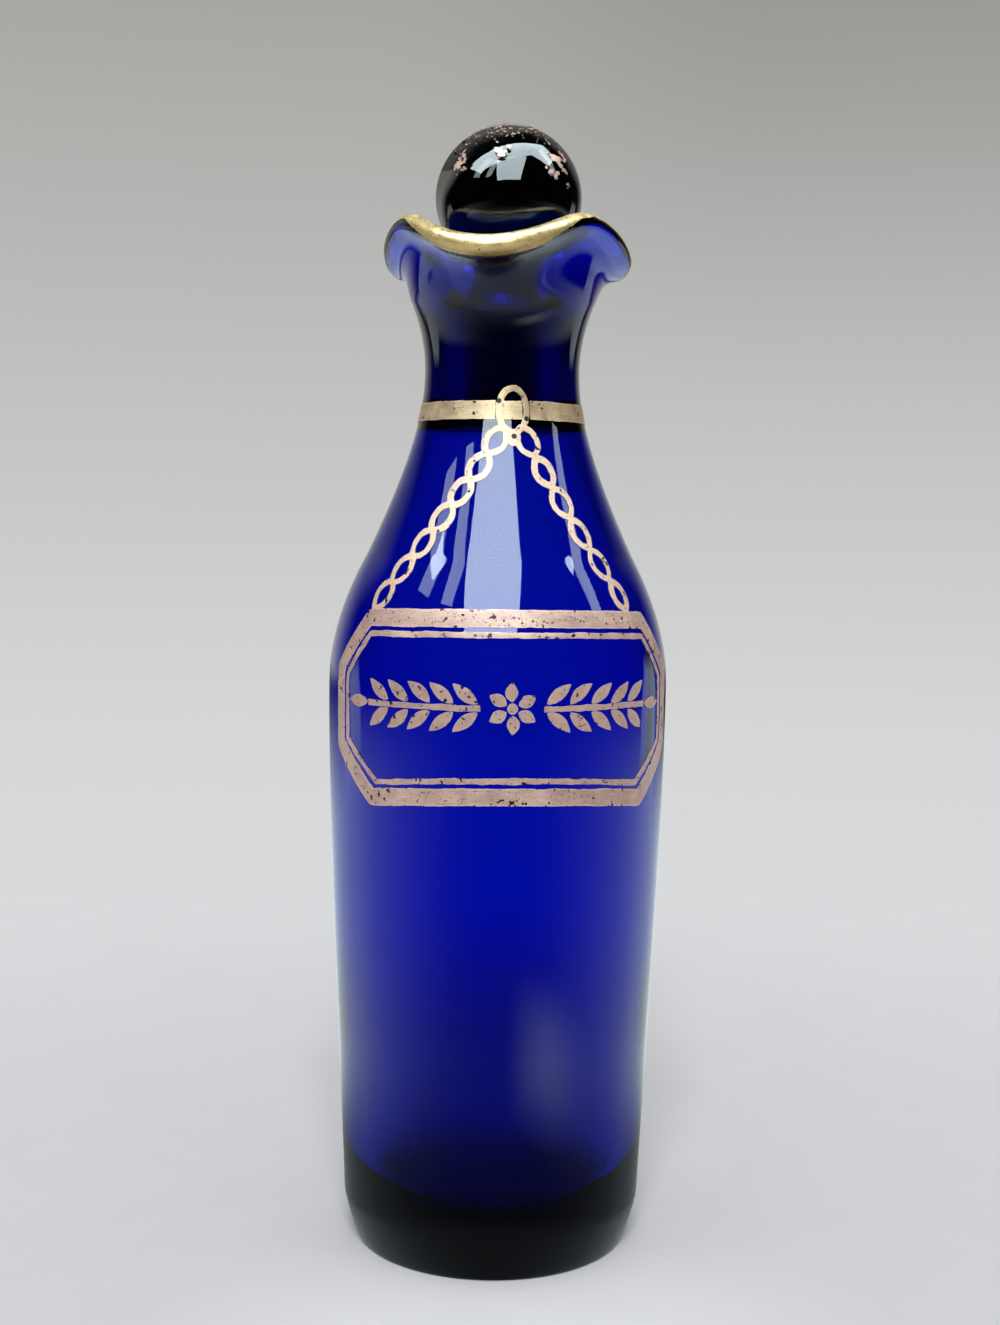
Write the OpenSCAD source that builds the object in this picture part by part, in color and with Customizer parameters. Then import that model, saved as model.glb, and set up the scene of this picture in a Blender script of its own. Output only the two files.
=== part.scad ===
// Blown glass condiment bottle with a ground-in ball stopper and painted gilding.
// Millimetres. The origin is the centre of the resting ring, +Z is up, and the
// label faces -Y. Angles on the glass count from the front towards +X.

/* [Body] */
// Widest radius of the body, at the shoulder
body_r = 24.85; // [23:0.05:27]
// Height of the widest point
body_z = 83; // [80:0.5:88]
// Radius of the body just above its foot
foot_r = 22; // [20.5:0.1:23]
// Height at which the foot's curve meets the side
foot_z = 7; // [5:0.5:10]
// Outer radius of the ring that the bottle rests on
rest_r = 19.85; // [18:0.05:20.5]
// Width of the resting ring
rest_w = 3; // [1.5:0.1:6]
// Depth of the hollow under the base
kick_h = 2.2; // [0.5:0.1:4]
// Thickness of the glass above that hollow
floor_t = 6.6; // [3:0.1:10]
// Height up to which the side wall grows thicker towards that floor
heavy_top = 33; // [28:0.5:45]
// Thickness of the side wall
wall = 2.6; // [1.5:0.1:4]

/* [Shoulder and neck] */
// Radius where the shoulder turns from round to hollow
shoulder_r = 19.3; // [18:0.1:20.5]
// Height of that turn
shoulder_z = 101.8; // [99:0.1:105]
// Outer radius of the neck at its narrowest
neck_r = 11.3; // [10.5:0.1:12.5]
// Height of the narrowest place
neck_z = 128.4; // [126:0.1:130]
// Outer radius where the neck opens into the lip
mouth_r = 13.2; // [12.4:0.05:14]
// Height of the mouth, where the ground seat ends and the lip begins
mouth_z = 137.5; // [135:0.1:139]

/* [Wavy lip] */
// Number of dips round the lip
lip_dips = 3; // [2:1:5]
// Radius of the lip's edge at a dip
dip_r = 17.8; // [15.5:0.1:19]
// Height of the lip's edge at a dip
dip_z = 143.6; // [141:0.1:146]
// How far the edge leans out from upright at a dip, in degrees
dip_lean = 80; // [50:1:88]
// Radius of the lip's edge at a peak
peak_r = 14.8; // [13.8:0.1:17]
// Height of the lip's edge at a peak
peak_z = 148; // [146:0.1:151]
// How far the edge leans out from upright at a peak, in degrees
peak_lean = 42; // [20:1:60]
// Thickness of the rolled edge
lip_t = 2.9; // [2:0.1:3.6]
// Angle of the front dip
lip_turn = -12.5; // [-60:0.5:60]

/* [Ground seat and stopper] */
// Radius of the ground seat at its top
seat_r = 6; // [5:0.1:6.6]
// How much narrower the seat is at its lower end
seat_taper = 0.6; // [0.2:0.1:1]
// Length of the ground seat
seat_len = 14; // [9:0.1:15]
// Clearance between the seat and the plug
seat_gap = 0.08; // [0.03:0.01:0.15]
// How far the plug reaches out below the seat
plug_proud = 0.4; // [0:0.1:2]
// Radius of the stopper's waist
stem_r = 5; // [4:0.1:5.6]
// Radius of the stopper's ball
ball_r = 10.65; // [9:0.05:11.5]
// Height of the ball's centre above the mouth
ball_rise = 15.4; // [14:0.1:18]
// How far the hand-worked ball sits off the neck's axis
ball_off = 0.6; // [0:0.1:1.5]

/* [Gilding] */
// Thickness of the gilding
gilt_t = 0.15; // [0.08:0.01:0.3]
// Gap between the glass and the gilding
gilt_gap = 0.05; // [0.04:0.01:0.1]
// How far the rim's gilding runs down outside the lip's edge in the front dip
rim_drop = 0.6; // [0.2:0.1:1]
// How far round the edge the rim's gilding starts away from that dip, in degrees
rim_bare = 75; // [40:1:90]
// Height of the middle of the neck band
band_z = 121.9; // [119.5:0.1:124]
// Width of the neck band
band_w = 2.6; // [1.5:0.1:4]
// Width of the oval ring on the band
oval_w = 4.8; // [3.5:0.1:6]
// Height of the oval ring
oval_h = 7; // [5:0.1:9]
// Width of the oval ring's stroke
oval_stroke = 0.85; // [0.5:0.05:1.2]
// Angle of the oval ring
oval_at = 2.8; // [-20:0.1:20]

/* [Painted chain] */
// Length of a link
link_l = 5.1; // [4:0.1:7]
// Width of a link
link_w = 3.5; // [2.6:0.1:4.5]
// Width of a link's stroke
link_stroke = 0.9; // [0.4:0.05:1.1]
// Number of links on the left
left_links = 7; // [3:1:7]
// Fall of the left chain per link
left_fall = 3.6; // [3:0.05:3.6]
// Sideways run of the left chain per link
left_run = 2.12; // [1:0.01:2.6]
// Number of links on the right
right_links = 6; // [3:1:6]
// Fall of the right chain per link
right_fall = 4.25; // [3.6:0.05:4.3]
// Sideways run of the right chain per link
right_run = 1.95; // [1:0.01:2.4]
// Clear height between the neck band and the first links
chain_drop = 0.5; // [0.3:0.1:2]
// Angle between the oval ring and the first link on the left
left_spread = 10.8; // [8.5:0.1:12]
// Angle between the oval ring and the first link on the right
right_spread = 8.7; // [8.5:0.1:12]

/* [Label border] */
// Height of the middle of the label
label_z = 81.2; // [78:0.1:82]
// Height of the border, between the middles of its strokes
label_h = 24.1; // [20:0.1:25]
// Half the width of the border, along the glass
label_half = 29.3; // [24:0.1:32]
// Width of the border's stroke
border_w = 2.4; // [1.5:0.1:3]
// Sideways reach of the two upper corners
top_cut_s = 5.6; // [3:0.1:10]
// Height of the two upper corners
top_cut_z = 7.6; // [4:0.1:9]
// Sideways reach of the two lower corners
low_cut_s = 8; // [3:0.1:10]
// Height of the two lower corners
low_cut_z = 5.6; // [4:0.1:9]
// How much lower the upper edge is at its corners than in its middle
top_sag = 0.5; // [0:0.1:1]
// How much lower the lower edge is at its corners than in its middle
low_sag = 1.2; // [0:0.1:2]
// Distance from the border's middle to the fine line's middle
line_inset = 2.2; // [2:0.1:3.5]
// Width of the fine line
line_w = 0.8; // [0.4:0.1:1.2]

/* [Leaf spray] */
// Length of a leaf
leaf_l = 4.3; // [3:0.1:5]
// Width of a leaf
leaf_w = 1.7; // [1:0.1:2.2]
// Angle of the leaves to the stem
leaf_lean = 38; // [30:1:50]
// Pairs of leaves on each branch, as far as the label has room for them
leaf_pairs = 5; // [2:1:6]
// Distance between pairs
leaf_pitch = 3.35; // [3.2:0.05:3.45]
// Width of the stem
stem_w = 0.8; // [0.4:0.1:1]
// Number of petals of the middle flower
petals = 6; // [5:1:8]
// Length of a petal
petal_l = 2.6; // [2:0.1:3]
// Radius of the flower's eye
eye_r = 0.75; // [0.5:0.05:1]

/* [Hidden] */
$fn = 96;

GLASS = [0.07, 0.08, 0.55, 0.8];
GOLD = [0.80, 0.64, 0.32];

// Directions of the glass's outline where its curves meet, as [outward, upward]
UP = [0, 1];
FOOT_SLOPE = [1, 1];
SIDE_SLOPE = [0.045, 1];
TURN_SLOPE = [-0.47, 1];
MOUTH_SLOPE = [0.42, 1];
CUP_SLOPE = [1.2, 1];
WAIST_SLOPE = [-1, 1.5];

// Length of the two handles of each curve, as shares of the distance between its ends
FOOT_CURVE = [0.07, 0.23];
SIDE_CURVE = [0.43, 0.26];
ROUND_CURVE = [0.47, 0.1];
HOLLOW_CURVE = [0.65, 0.15];
MOUTH_CURVE = [0.38, 0.22];
FLOOR_CURVE = [0.5, 0.74];
LIP_CURVE = [0.38, 0.38];
WAIST_CURVE = [0.4, 0.3];

// Number of steps along each curve
SIDE_STEPS = 9;
ROUND_STEPS = 10;
HOLLOW_STEPS = 12;
MOUTH_STEPS = 5;
FOOT_STEPS = 4;
FLOOR_STEPS = 14;
KICK_STEPS = 8;
THROAT_STEPS = 6;
WAIST_STEPS = 5;
LIP_ROUND = 72;
LIP_OUT_STEPS = 6;
LIP_IN_STEPS = 5;
EDGE_STEPS = 8;

// Places that follow from the sizes above
floor_z = kick_h + floor_t;
seat_low_r = seat_r - seat_taper;
seat_low_z = mouth_z - seat_len;
chamfer = 0.6;
ball_z = mouth_z + ball_rise;
// Height from which the wall thickens, as a share of the way from the shoulder's turn to the seat
thick_share = 0.7;
thick_from = shoulder_z + (seat_low_z - shoulder_z) * thick_share;

function unit(v) = v / norm(v);
function reversed(list) = [for (i = [len(list) - 1 : -1 : 0]) list[i]];
function smooth(k) = let (c = min(max(k, 0), 1)) c * c * (3 - 2 * c);
function curve_at(a, b, c, d, t) =
    pow(1 - t, 3) * a + 3 * pow(1 - t, 2) * t * b + 3 * (1 - t) * t * t * c + pow(t, 3) * d;
// A cubic curve from a to d that leaves along u and arrives along v. It leaves out a itself.
function curve(a, u, d, v, shares, steps) =
    let (span = norm(d - a), b = a + unit(u) * span * shares[0], c = d - unit(v) * span * shares[1])
    [for (i = [1 : steps]) curve_at(a, b, c, d, i / steps)];

// Outline of the glass, as [radius, height]
REST = [rest_r, 0];
FOOT = [foot_r, foot_z];
WIDEST = [body_r, body_z];
TURN = [shoulder_r, shoulder_z];
NECK = [neck_r, neck_z];
MOUTH = [mouth_r, mouth_z];

outline = concat(
    [REST],
    curve(REST, FOOT_SLOPE, FOOT, SIDE_SLOPE, FOOT_CURVE, FOOT_STEPS),
    curve(FOOT, SIDE_SLOPE, WIDEST, UP, SIDE_CURVE, SIDE_STEPS),
    curve(WIDEST, UP, TURN, TURN_SLOPE, ROUND_CURVE, ROUND_STEPS),
    curve(TURN, TURN_SLOPE, NECK, UP, HOLLOW_CURVE, HOLLOW_STEPS),
    curve(NECK, UP, MOUTH, MOUTH_SLOPE, MOUTH_CURVE, MOUTH_STEPS));

outline_by_height = [for (p = outline) [p.y, p.x]];
function glass_r(z) = lookup(z, outline_by_height);

// The wall thickens below the neck band, up to the ground seat
function inner_r(z) =
    let (k = smooth((z - thick_from) / (seat_low_z - thick_from)))
    (glass_r(z) - wall) * (1 - k) + seat_low_r * k;

inner_side = concat(
    [for (p = outline) if (p.y > heavy_top && p.y < thick_from) [inner_r(p.y), p.y]],
    [for (i = [0 : THROAT_STEPS - 1])
        let (z = thick_from + (seat_low_z - thick_from) * i / THROAT_STEPS) [inner_r(z), z]]);

// Below its heavy top the hollow narrows in one sweep to the floor, which leaves a thick foot
FLOOR_MID = [0, floor_z];
FLOOR_SIDE = [inner_r(heavy_top), heavy_top];
inner_floor = concat([FLOOR_MID],
    curve(FLOOR_MID, [1, 0], FLOOR_SIDE, SIDE_SLOPE, FLOOR_CURVE, FLOOR_STEPS));

// The hollow under the base is the cap of a ball
rest_in = rest_r - rest_w;
kick_r = (rest_in * rest_in + kick_h * kick_h) / (2 * kick_h);
kick = [for (i = [0 : KICK_STEPS])
    let (r = rest_in * i / KICK_STEPS)
    [r, kick_h - kick_r + sqrt(kick_r * kick_r - r * r)]];

module glass_section() {
    polygon(concat(
        kick,
        outline,
        [[seat_r + chamfer, mouth_z], [seat_r, mouth_z - chamfer], [seat_low_r, seat_low_z]],
        reversed(inner_side),
        reversed(inner_floor)));
}

// Shape of the lip at an angle: 1 in a dip, 0 on a peak
function dip(a) = (1 + cos(lip_dips * (a - lip_turn))) / 2;
function mix(a, low, high) = low + (high - low) * dip(a);
function edge_mid(a) = [mix(a, peak_r, dip_r), mix(a, peak_z, dip_z)];
function edge_way(a) = let (l = mix(a, peak_lean, dip_lean)) [sin(l), cos(l)];
function edge_out(a) = let (w = edge_way(a)) [w.y, -w.x];
// A point on the round of the edge, at a turn from its outer side over to its inner side
function edge_round(a, turn, r) = edge_mid(a) + r * (cos(turn) * edge_out(a) + sin(turn) * edge_way(a));

// The lip's foot is this much narrower on each side than the mouth that it stands on
LIP_STEP = 0.02;
function lip_section(a) =
    let (outer_foot = [mouth_r - LIP_STEP, mouth_z],
         inner_foot = [seat_r + chamfer + LIP_STEP, mouth_z],
         outer_end = edge_round(a, 0, lip_t / 2),
         inner_end = edge_round(a, 180, lip_t / 2))
    concat(
        [outer_foot],
        curve(outer_foot, MOUTH_SLOPE, outer_end, edge_way(a), LIP_CURVE, LIP_OUT_STEPS),
        [for (i = [1 : EDGE_STEPS]) edge_round(a, 180 * i / EDGE_STEPS, lip_t / 2)],
        curve(inner_end, -edge_way(a), inner_foot, -CUP_SLOPE, LIP_CURVE, LIP_IN_STEPS));

// A point at a radius, an angle from the front and a height
function place(r, a, z) = [r * sin(a), -r * cos(a), z];

// Skin of a tube: rings of m points each, joined in order, closed on itself or capped
module tube(rings, closed) {
    m = len(rings[0]);
    n = len(rings);
    last = closed ? n - 1 : n - 2;
    sides = [for (i = [0 : last], j = [0 : m - 1])
        let (k = (i + 1) % n, l = (j + 1) % m, a = i * m + j, b = i * m + l, c = k * m + l, d = k * m + j)
        each [[a, b, c], [a, c, d]]];
    caps = closed ? [] : concat(
        [for (j = [1 : m - 2]) [0, j + 1, j]],
        [for (j = [1 : m - 2]) [(n - 1) * m, (n - 1) * m + j, (n - 1) * m + j + 1]]);
    polyhedron([for (r = rings) each r], concat(sides, caps));
}

module wavy_lip() {
    tube([for (i = [0 : LIP_ROUND - 1])
        let (a = 360 * i / LIP_ROUND) [for (p = lip_section(a)) place(p.x, a, p.y)]], true);
}

module bottle() {
    color(GLASS) {
        rotate_extrude() glass_section();
        wavy_lip();
    }
}

module stopper() {
    low_z = seat_low_z - plug_proud;
    low_r = seat_low_r - seat_gap - seat_taper * plug_proud / seat_len;
    top_z = mouth_z - chamfer;
    top_r = seat_r - seat_gap;
    waist_low = [top_r - chamfer / 2, mouth_z];
    waist_high = [stem_r, ball_z - ball_r];
    // The stem ends inside the ball, above the height where the ball is as wide as it
    stem_top = ball_z - sqrt(pow(ball_r, 2) - pow(stem_r + ball_off, 2)) + chamfer;
    color(GLASS) {
        rotate_extrude() polygon(concat(
            [[0, low_z], [low_r - chamfer, low_z], [low_r, low_z + chamfer], [top_r, top_z], waist_low],
            curve(waist_low, WAIST_SLOPE, waist_high, UP, WAIST_CURVE, WAIST_STEPS),
            [[stem_r, stem_top], [0, stem_top]]));
        translate([ball_off, 0, ball_z]) sphere(ball_r);
    }
}

// Gilding is strokes laid on the glass, along paths of [angle, height]. At point i of a path, this
// is one millimetre across the stroke, longer where the path turns.
LEAST_MITRE = 0.6;
function across(path, i, closed) =
    let (n = len(path),
         before = path[closed ? (i + n - 1) % n : max(i - 1, 0)],
         here = path[i],
         after = path[closed ? (i + 1) % n : min(i + 1, n - 1)],
         k = glass_r(here.y) * PI / 180,
         u = i == 0 && !closed ? undef : unit([(here.x - before.x) * k, here.y - before.y]),
         v = i == n - 1 && !closed ? undef : unit([(after.x - here.x) * k, after.y - here.y]),
         along = is_undef(u) ? v : is_undef(v) ? u : unit(u + v),
         mitre = is_undef(u) ? 1 : 1 / max(u * along, LEAST_MITRE))
    [-along.y / k, along.x] * mitre;

function on_glass(p, h) = place(glass_r(p.y) + h, p.x, p.y);
// Corners of a stroke's section, with as many strips across it as it needs to follow the glass. A
// stroke that cuts another one is deeper than the gilding by its reach, inwards and outwards.
function stroke_section(p, side, half, strips, reach) =
    let (row = [for (j = [0 : strips]) p + side * half * (1 - 2 * j / strips)])
    concat([for (q = row) on_glass(q, gilt_gap - reach)],
           [for (q = reversed(row)) on_glass(q, gilt_gap + gilt_t + reach)]);

module stroke(path, halves, closed = false, strips = 1, reach = 0) {
    tube([for (i = [0 : len(path) - 1])
        stroke_section(path[i], across(path, i, closed), is_list(halves) ? halves[i] : halves, strips,
                       reach)],
        closed);
}

// Bare glass left where one stroke ends at another, and the reach of the cuts that leave it
STROKE_CLEAR = 0.05;
CUT_REACH = 1;

// 1 in the middle of the front dip, 0 from the peaks on both sides of it round to the back
function front(a) = abs((a - lip_turn + 540) % 360 - 180) < 180 / lip_dips ? dip(a) : 0;

// The rim's gilding covers the top of the round edge. In the front dip it also covers the round's
// outer side and runs down below it, where it keeps to the last step of the lip's outer curve.
RIM_STEPS = EDGE_STEPS + 1;
function rim_side(a, h) =
    let (lip = lip_section(a),
         down = unit(lip[LIP_OUT_STEPS - 1] - lip[LIP_OUT_STEPS]),
         out = [-down.y, down.x],
         degree = PI * lip_t / 360,
         from = (1 - front(a)) * rim_bare * degree - front(a) * rim_drop,
         to = 180 * degree)
    [for (i = [0 : RIM_STEPS])
        let (s = from + (to - from) * i / RIM_STEPS)
        s < 0 ? lip[LIP_OUT_STEPS] + out * h - down * s : edge_round(a, s / degree, lip_t / 2 + h)];

module gilt_rim() {
    color(GOLD) tube([for (i = [0 : LIP_ROUND - 1])
        let (a = 360 * i / LIP_ROUND,
             section = concat(rim_side(a, gilt_gap + gilt_t), reversed(rim_side(a, gilt_gap))))
        [for (p = section) place(p.x, a, p.y)]],
        true);
}

// Degrees that a length along the glass takes up at a height
function arc(s, z) = s / glass_r(z) * 180 / PI;

module band_piece(from, to) {
    low = band_z - band_w / 2;
    high = band_z + band_w / 2;
    heights = concat([low], [for (p = outline) if (p.y > low && p.y < high) p.y], [high]);
    rotate([0, 0, from - 90]) rotate_extrude(angle = to - from) polygon(concat(
        [for (z = heights) [glass_r(z) + gilt_gap, z]],
        [for (z = reversed(heights)) [glass_r(z) + gilt_gap + gilt_t, z]]));
}

OVAL_STEPS = 20;
module oval_ring(clear = 0, reach = 0) {
    rs = arc((oval_w - oval_stroke) / 2, band_z);
    rz = (oval_h - oval_stroke) / 2;
    stroke([for (i = [0 : OVAL_STEPS - 1])
        let (t = 360 * i / OVAL_STEPS) [oval_at + rs * cos(t), band_z + rz * sin(t)]],
        oval_stroke / 2 + clear, closed = true, reach = reach);
}

// The band stops short of the oval ring on both sides of its stroke
module gilt_neck_band() {
    inner_clear = 0.3;
    outer = arc(oval_w / 2 + STROKE_CLEAR, band_z);
    inner = arc(oval_w / 2 - oval_stroke - inner_clear, band_z);
    color(GOLD) {
        band_piece(oval_at + outer, oval_at + 360 - outer);
        band_piece(oval_at - inner, oval_at + inner);
        oval_ring();
    }
}

// A pointed link: two arcs that meet at the tips
LINK_STEPS = 6;
function link_outline() =
    let (a = (link_l - link_stroke) / 2,
         b = (link_w - link_stroke) / 2,
         r = (a * a + b * b) / (2 * b),
         half = asin(a / r),
         right = [for (i = [0 : LINK_STEPS - 1])
             let (t = half * (1 - 2 * i / LINK_STEPS)) [r * cos(t) - (r - b), r * sin(t)]])
    concat(right, [for (p = right) -p]);

module chain_link(at, z, lean) {
    stroke([for (p = link_outline())
        let (s = p.x * cos(lean) + p.y * sin(lean), h = p.y * cos(lean) - p.x * sin(lean))
        [at + arc(s, z), z + h]],
        link_stroke / 2, closed = true);
}

// Angle of link n, after equal sideways runs on a widening glass
function link_at(start, top, run, fall, n) =
    n == 0 ? start : link_at(start, top, run, fall, n - 1) + arc(run, top - (n - 0.5) * fall);

module chain(links, side, spread, run, fall) {
    top = band_z - band_w / 2 - chain_drop - link_l / 2;
    for (n = [0 : links - 1])
        chain_link(link_at(oval_at + side * spread, top, side * run, fall, n), top - n * fall,
                   -side * atan(run / fall));
}

// Both chains start at the oval ring's edge and end at the upper edge of the label's border
module gilt_chain() {
    color(GOLD) difference() {
        union() {
            chain(left_links, -1, left_spread, left_run, left_fall);
            chain(right_links, 1, right_spread, right_run, right_fall);
        }
        oval_ring(STROKE_CLEAR, CUT_REACH);
        below_label_top();
    }
}

// Steps along a straight stroke, none longer than this
STEP = 2.6;
function split(a, b) =
    let (n = ceil(norm(b - a) / STEP)) [for (i = [0 : n - 1]) a + (b - a) * i / n];
function on_label(points) = [for (p = points) [arc(p.x, label_z), label_z + p.y]];

// A level edge of the border that sags towards its two corners, from one side to the other
function edge(reach, height, sag, side) =
    let (n = ceil(2 * reach / STEP))
    [for (i = [0 : n - 1]) let (t = side * (1 - 2 * i / n)) [reach * t, height - sag * t * t]];
// The four corners on the right, from the top down, or on the left, from the foot up
function flank(side, s, h, top_s, top_z, low_s, low_z) =
    let (points = [[s - top_s, h - top_sag], [s, h - top_z], [s, low_z - h], [s - low_s, -h - low_sag]])
    [for (i = [0 : 3]) let (p = points[side > 0 ? i : 3 - i]) [side * p.x, p.y]];

// The inset shortens each corner's cut, so that the strokes stay parallel
module eight_sided(inset, width, strips) {
    s = label_half - inset;
    h = label_h / 2 - inset;
    k = inset * (2 - sqrt(2));
    right = flank(1, s, h, top_cut_s - k, top_cut_z - k, low_cut_s - k, low_cut_z - k);
    left = flank(-1, s, h, top_cut_s - k, top_cut_z - k, low_cut_s - k, low_cut_z - k);
    path = concat(
        [for (i = [0 : 2]) each split(right[i], right[i + 1])],
        edge(s - low_cut_s + k, -h, low_sag, 1),
        [for (i = [0 : 2]) each split(left[i], left[i + 1])],
        edge(s - top_cut_s + k, h, top_sag, -1));
    stroke(on_label(path), width / 2, closed = true, strips = strips);
}

// All that lies under the border's upper edge, down to the middle of the label
TOP_STEPS = 20;
module below_label_top() {
    depth = label_h / 2;
    corner = label_half - top_cut_s;
    low = border_w / 2 + STROKE_CLEAR - depth / 2;
    path = [for (i = [0 : TOP_STEPS])
        let (x = label_half * (1 - 2 * i / TOP_STEPS), t = x / corner) [x, depth - top_sag * t * t + low]];
    stroke(on_label(path), depth / 2, strips = 4, reach = CUT_REACH);
}

module gilt_label_border() {
    color(GOLD) {
        eight_sided(0, border_w, 2);
        eight_sided(line_inset, line_w, 1);
    }
}

// A leaf from its foot at p, lying along an angle from level
LEAF_STEPS = 5;
LEAF_TIP = 0.05;
module leaf(p, angle, length, width) {
    way = [cos(angle), sin(angle)];
    stroke(on_label([for (i = [0 : LEAF_STEPS]) p + way * length * i / LEAF_STEPS]),
           [for (i = [0 : LEAF_STEPS]) LEAF_TIP + (width / 2 - LEAF_TIP) * sin(180 * i / LEAF_STEPS)]);
}

// Bare glass left between two leaves, between the flower and the branches, and between the end
// leaves and the fine line
LEAF_GAP = 0.2;
FLOWER_GAP = 0.8;
END_GAP = 0.2;
BRANCH_STEPS = 10;
module branch(side) {
    from = eye_r + LEAF_GAP + petal_l + FLOWER_GAP;
    reach = label_half - line_inset - line_w / 2 - END_GAP;
    room = reach - from - stem_w - LEAF_GAP - leaf_l;
    pairs = min(leaf_pairs, floor(room / leaf_pitch));
    length = pairs * leaf_pitch + stem_w;
    stem = [for (i = [0 : BRANCH_STEPS]) [side * (from + length * i / BRANCH_STEPS), 0]];
    stroke(on_label(stem), stem_w / 2);
    for (n = [0 : pairs - 1], up = [-1, 1])
        leaf([side * (from + stem_w / 2 + n * leaf_pitch), up * (stem_w / 2 + LEAF_GAP)],
             side > 0 ? up * leaf_lean : 180 - up * leaf_lean, leaf_l, leaf_w);
    leaf([side * (from + length + LEAF_GAP), 0], side > 0 ? 0 : 180, leaf_l, leaf_w);
}

module flower() {
    for (i = [0 : petals - 1])
        let (turn = 90 + 360 * i / petals)
        leaf((eye_r + LEAF_GAP) * [cos(turn), sin(turn)], turn, petal_l, leaf_w);
    leaf([-eye_r, 0], 0, 2 * eye_r, 2 * eye_r);
}

module gilt_leaf_spray() {
    color(GOLD) {
        branch(-1);
        branch(1);
        flower();
    }
}

bottle();
stopper();
gilt_rim();
gilt_neck_band();
gilt_chain();
gilt_label_border();
gilt_leaf_spray();
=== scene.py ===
"""Looks of a blown blue glass condiment bottle with a ball stopper and painted gilding.

Metres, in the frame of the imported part: origin in the middle of the resting ring, +Z up, the
label towards -Y. Angles on the glass count in degrees from the front towards +X.
"""

import math
from math import cos, degrees, hypot, radians, sin

import bmesh
import bpy
from bpy.props import FloatProperty, FloatVectorProperty, IntProperty, PointerProperty
from mathutils import Matrix, Vector, noise


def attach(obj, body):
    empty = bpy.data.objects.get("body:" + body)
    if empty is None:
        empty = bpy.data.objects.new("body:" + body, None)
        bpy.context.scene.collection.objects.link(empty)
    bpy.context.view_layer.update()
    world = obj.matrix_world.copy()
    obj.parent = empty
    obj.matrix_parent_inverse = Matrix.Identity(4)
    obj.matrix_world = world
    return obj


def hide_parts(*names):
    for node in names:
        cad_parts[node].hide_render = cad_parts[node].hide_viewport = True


bl_info = {
    "name": "Condiment bottle",
    "version": (1, 0, 0),
    "blender": (4, 5, 0),
    "location": "View3D > Sidebar > Bottle",
    "description": "Blue glass condiment bottle with a ball stopper and painted gilding",
    "category": "Add Mesh",
}

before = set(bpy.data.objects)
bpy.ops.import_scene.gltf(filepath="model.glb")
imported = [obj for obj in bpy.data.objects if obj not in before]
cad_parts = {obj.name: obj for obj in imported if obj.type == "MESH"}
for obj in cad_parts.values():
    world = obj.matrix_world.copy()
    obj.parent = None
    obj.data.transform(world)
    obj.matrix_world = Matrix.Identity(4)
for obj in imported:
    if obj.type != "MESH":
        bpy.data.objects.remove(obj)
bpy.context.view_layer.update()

MM = 0.001
# Vertices round the bottle, and sections of the lip: outside, over the rolled edge and inside
ROUND = 160
OUTER, ROLLED, INNER = 16, 12, 14

# Sizes of the drawn part, in millimetres
REST, REST_W, KICK = (19.85, 0), 3.0, 2.2
FOOT, WIDEST, TURN = (22.0, 7.0), (24.85, 83.0), (19.3, 101.8)
NECK, MOUTH = (11.3, 128.4), (13.2, 137.5)
# The cavity's floor, the top of its corner, and how much the wall gains below a height, over a length
FLOOR_Z, HEAVY_TOP, HEAVIER = 8.8, 18.0, (1.15, 47, 26)
SEAT_R, SEAT_LOW_R, SEAT_LOW_Z, CHAMFER = 6.0, 5.4, 123.5, 0.6
THICK_FROM = TURN[1] + (SEAT_LOW_Z - TURN[1]) * 0.78
BALL_R, BALL_Z, BALL_OFF, STEM = 10.65, 152.9, 0.6, (5.0, 141.4)
# Where flakes of gold are left on the ball, as a direction and a reach on the unit ball
BALL_FLAKES = (((-0.17, -0.87, 0.47), 0.07), ((-0.24, -0.84, 0.52), 0.06), ((-0.10, -0.84, 0.55), 0.05),
               ((0.62, -0.70, 0.36), 0.30), ((-0.74, -0.58, 0.34), 0.20), ((0.2, 0.6, 0.7), 0.35),
               ((-0.5, 0.7, 0.4), 0.25))
DIP, PEAK, LIP_T, LIP_TURN = (17.8, 143.6, 80), (14.8, 148.0, 42), 2.9, -12.5
# How far the rim's gold drops in the front dip, the turn where it starts elsewhere, and its thickness
RIM_DROP, RIM_BARE, GOLD_T = 0.6, 75.0, 0.04
# The band's height and width, and the oval ring's width, height, stroke and angle
BAND_Z, BAND_W, OVAL = 121.9, 2.6, (4.8, 7.0, 0.85, 2.8)
LABEL_Z, LABEL_H, LABEL_HALF, BORDER_W = 81.2, 24.1, 29.3, 2.4
UP = (0, 1)


def along(a, k, b):
    return tuple(x + (y - x) * k for x, y in zip(a, b))


def unit(v):
    n = hypot(*v)
    return tuple(x / n for x in v)


def curve(a, u, d, v, shares, steps):
    """A cubic curve from a, leaving along u, to d, arriving along v. It leaves out a."""
    span = math.dist(a, d)
    u, v = unit(u), unit(v)
    b = [a[i] + u[i] * span * shares[0] for i in (0, 1)]
    c = [d[i] - v[i] * span * shares[1] for i in (0, 1)]
    out = []
    for n in range(1, steps + 1):
        t = n / steps
        s = 1 - t
        out.append(tuple(s**3 * a[i] + 3 * s * s * t * b[i] + 3 * s * t * t * c[i] + t**3 * d[i]
                         for i in (0, 1)))
    return out


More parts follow.
